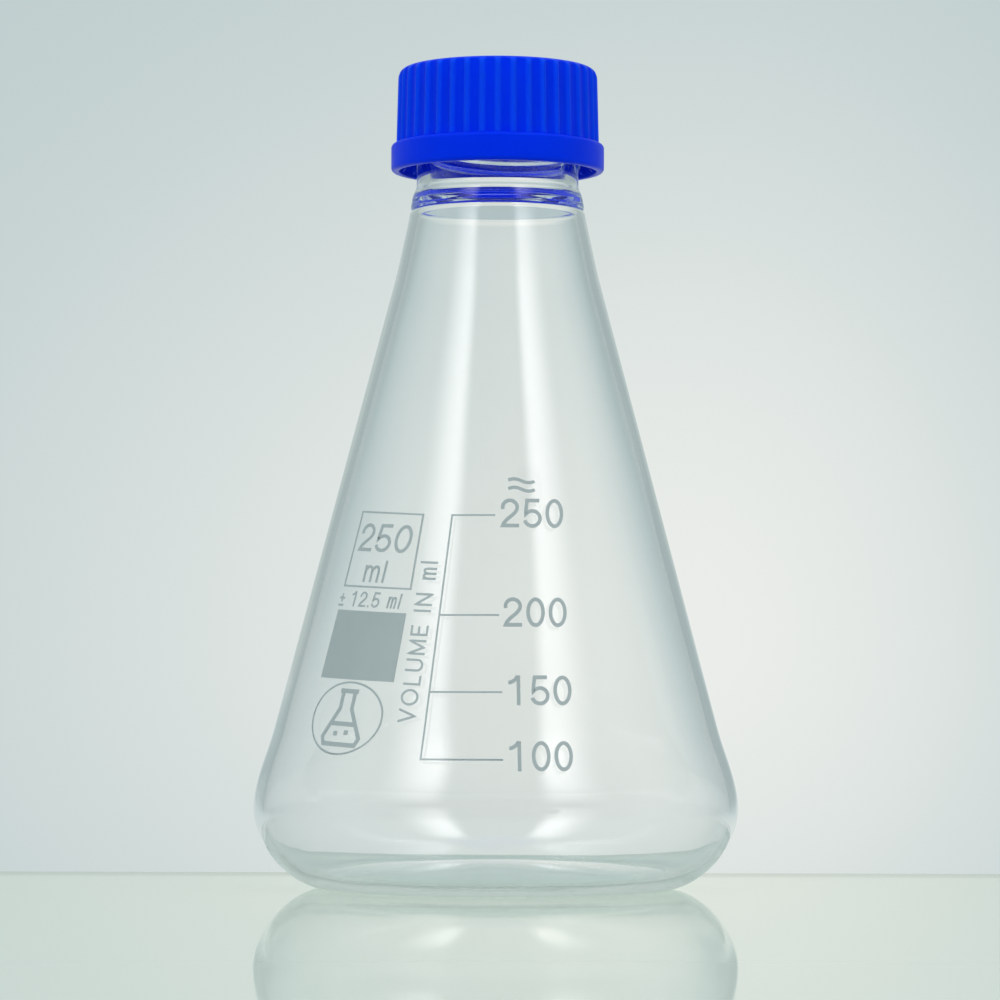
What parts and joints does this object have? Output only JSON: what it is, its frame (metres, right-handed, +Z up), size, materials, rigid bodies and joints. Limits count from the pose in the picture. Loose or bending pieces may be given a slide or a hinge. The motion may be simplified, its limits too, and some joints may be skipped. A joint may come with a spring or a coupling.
{
  "type": "screw-cap erlenmeyer flask",
  "caption": "Conical glass laboratory flask with a graduated print, threaded neck, pouring ring, sealing liner and a ribbed screw cap that unscrews and lifts off.",
  "frame": {"origin": "centre of the flat ring that the flask stands on", "axes": "+Z up along the flask's axis towards the cap; the print faces -Y"},
  "size_m": [0.0852, 0.0852, 0.1444],
  "materials": {
    "glass": "clear polished borosilicate glass",
    "cap_plastic": "moulded blue polypropylene, satin",
    "liner": "soft smooth moulded plastic",
    "ring_plastic": "moulded blue polypropylene",
    "enamel": "fired grey-blue enamel, satin"
  },
  "bodies": {
    "flask": {"flask_body": "glass", "pouring_ring": "ring_plastic", "enamel_scale": "enamel", "enamel_capacity_frame": "enamel", "enamel_marking_field": "enamel", "enamel_badge": "enamel"},
    "liner": {"seal_disc": "liner"},
    "cap": {"screw_cap": "cap_plastic"}
  },
  "joints": [
    {"name": "cap_lift", "type": "slide", "parent": "flask", "child": "liner", "axis": [0, 0, 1], "range_m": [0, 0.024]},
    {"name": "cap_turn", "type": "hinge", "parent": "liner", "child": "cap", "pos_m": [0, 0, 0.1355], "axis": [0, 0, 1], "range_deg": [0, 2160]}
  ],
  "couplings": [
    {"joint": "cap_lift", "follows": "cap_turn", "m_per_rad": 0.00063662}
  ]
}
